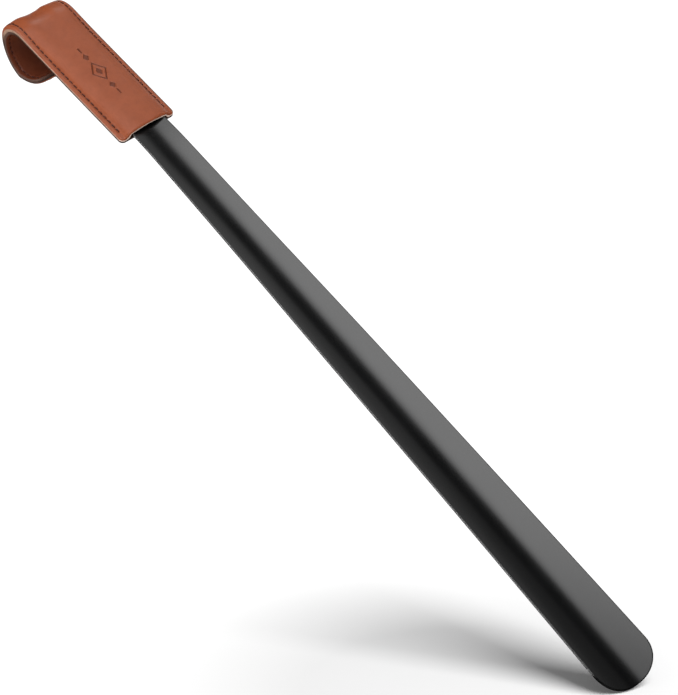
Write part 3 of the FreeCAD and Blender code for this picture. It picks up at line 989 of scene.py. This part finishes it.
def softbox(name, direction, distance, long_span, cross_span, radiance):
    """Softbox facing CENTRE; its spans (mm) run along and across SOFTBOX_EDGE."""
    facing = Vector(direction).normalized()
    edge = Vector(SOFTBOX_EDGE)
    edge = (edge - facing * edge.dot(facing)).normalized()
    cross = facing.cross(edge)
    facing, edge, cross = (camera_direction(*axis) for axis in (facing, edge, cross))
    position = (CENTRE + facing * distance + edge * (sum(long_span) / 2 * MM)
                + cross * (sum(cross_span) / 2 * MM))
    lamp = area_light(name, placed(position, (edge, facing.cross(edge), facing)),
                      (long_span[1] - long_span[0]) * MM, (cross_span[1] - cross_span[0]) * MM)
    lamp.data.energy = math.pi * radiance * lamp.data.size * lamp.data.size_y
    return lamp


# directions as (right, up, back) on the camera's axes
SOFTBOX_EDGE = (0.18, -0.15, 0.15)      # the long side runs along the blade's streak
KEY = (-0.10, 0.60, 0.79)
TOP = (0.45, 0.88, -0.05)
SOFTBOXES = (   # name, direction, distance (m), long span, cross span (mm), radiance
    ("key_softbox", KEY, 1.5, (-950, 520), (-1000, 830), 1.75),
    ("key_softbox_inner", KEY, 1.499, (-900, 430), (-1000, 700), 0.75),
    ("key_softbox_centre", KEY, 1.498, (-430, 300), (-1000, 560), 1.0),
    ("key_softbox_upper", KEY, 1.497, (-700, 360), (-1000, 760), 0.95),
    ("top_card", TOP, 1.5, (-700, 800), (-250, 1150), 0.16),
    ("top_card_upper", TOP, 1.498, (-700, 330), (-300, 1150), 0.26),
    ("top_card_end", TOP, 1.496, (-700, 30), (-400, 1150), 0.38),
)
AIMED_LIGHTS = (    # name, direction, distance, width, height (m), power (W)
    ("left_strip", (-0.94, -0.14, 0.26), 1.8, 0.22, 1.6, 30.0),
    ("crook_light", (-0.10, 0.965, -0.14), 1.5, 0.36, 0.36, 2.7),
    ("front_fill", (0.45, -0.45, 0.8), 2.4, 1.8, 1.8, 3.0),
    ("back_light", (0.1, 0.45, -0.9), 1.8, 1.3, 1.3, 6.0),
    ("floor_light", (0.50, 0.66, 0.56), 1.5, 1.35, 1.35, 27.0),
)
lamps = [softbox(*row) for row in SOFTBOXES] + [aimed_light(*row) for row in AIMED_LIGHTS]
floor_light = lamps.pop()

# ---------------------------------------------------------------------- floor
# a square just under the lowest point of the horn, level across the camera's view
FLOOR_HALF = 4.0
FLOOR_GAP = 0.0008
floor_up = (UP * 0.96 + BACK * 0.28).normalized()
lowest = min((horn.matrix_world @ vertex.co for vertex in horn.data.vertices),
             key=lambda point: point.dot(floor_up))
floor_x = RIGHT - floor_up * RIGHT.dot(floor_up)
floor_x.normalize()
floor_y = floor_up.cross(floor_x)
floor_centre = lowest - floor_up * FLOOR_GAP
floor_mesh = bpy.data.meshes.new("floor")
floor_mesh.from_pydata(
    [tuple(floor_centre + floor_x * i * FLOOR_HALF + floor_y * j * FLOOR_HALF)
     for i, j in ((-1, -1), (1, -1), (1, 1), (-1, 1))], [], [(0, 1, 2, 3)])
floor = bpy.data.objects.new("floor", floor_mesh)
scene.collection.objects.link(floor)

CAMERA_WHITE = 1.15                     # strength of the white ground round the object


def studio_floor():
    """Matt near the tip, plain white further out, and clear from below."""
    shader = new_shader("studio_floor")
    color = shader.mix(shader.noise(shader.coords(), scale=3.0),
                       (0.90, 0.90, 0.90, 1), (0.93, 0.93, 0.93, 1))
    matt = shader.node("ShaderNodeBsdfDiffuse", {"Color": color}).outputs[0]
    glow = shader.node("ShaderNodeEmission", {"Strength": 0.04}).outputs[0]
    lit = shader.node("ShaderNodeAddShader", {0: matt, 1: glow}).outputs[0]
    white = shader.node("ShaderNodeEmission", {"Strength": CAMERA_WHITE}).outputs[0]
    distance = shader.node("ShaderNodeVectorMath", {
        0: shader.coords(), 1: tuple(lowest - floor_x * 0.08)},
        operation="DISTANCE").outputs["Value"]
    upper = shader.mix_shader(shader.remap(distance, span=(0.09, 0.21)), lit, white)
    clear = shader.node("ShaderNodeBsdfTransparent").outputs[0]
    return shader.finish(shader.mix_shader(shader.geometry("Backfacing"), upper, clear))


floor_mesh.materials.append(studio_floor())
floor.visible_glossy = False

# the floor has its own light, and the other lights leave it out
floor_only = bpy.data.collections.new("floor_only")
floor_only.objects.link(floor)
floor_light.light_linking.receiver_collection = floor_only
all_but_floor = bpy.data.collections.new("all_but_floor")
all_but_floor.objects.link(floor)
all_but_floor.collection_objects[0].light_linking.link_state = "EXCLUDE"
for lamp in lamps:
    lamp.light_linking.receiver_collection = all_but_floor


# ---------------------------------------------------------------------- world
def studio_world():
    """White to the camera, soft grey to the object, nearly black in reflections."""
    shader = Shader(bpy.data.worlds.new("studio"), output="ShaderNodeOutputWorld")
    rays = shader.node("ShaderNodeLightPath").outputs
    seen, diffuse, glossy = (
        shader.node("ShaderNodeBackground",
                    {"Color": (1, 1, 1, 1), "Strength": strength}).outputs[0]
        for strength in (CAMERA_WHITE, 0.20, 0.012))
    unseen = shader.mix_shader(rays["Is Glossy Ray"], diffuse, glossy)
    return shader.finish(shader.mix_shader(rays["Is Camera Ray"], unseen, seen))


scene.world = studio_world()

scene.view_settings.view_transform = "Standard"
scene.view_settings.look = "None"
scene.view_settings.exposure = 0.0
scene.view_settings.gamma = 1.0
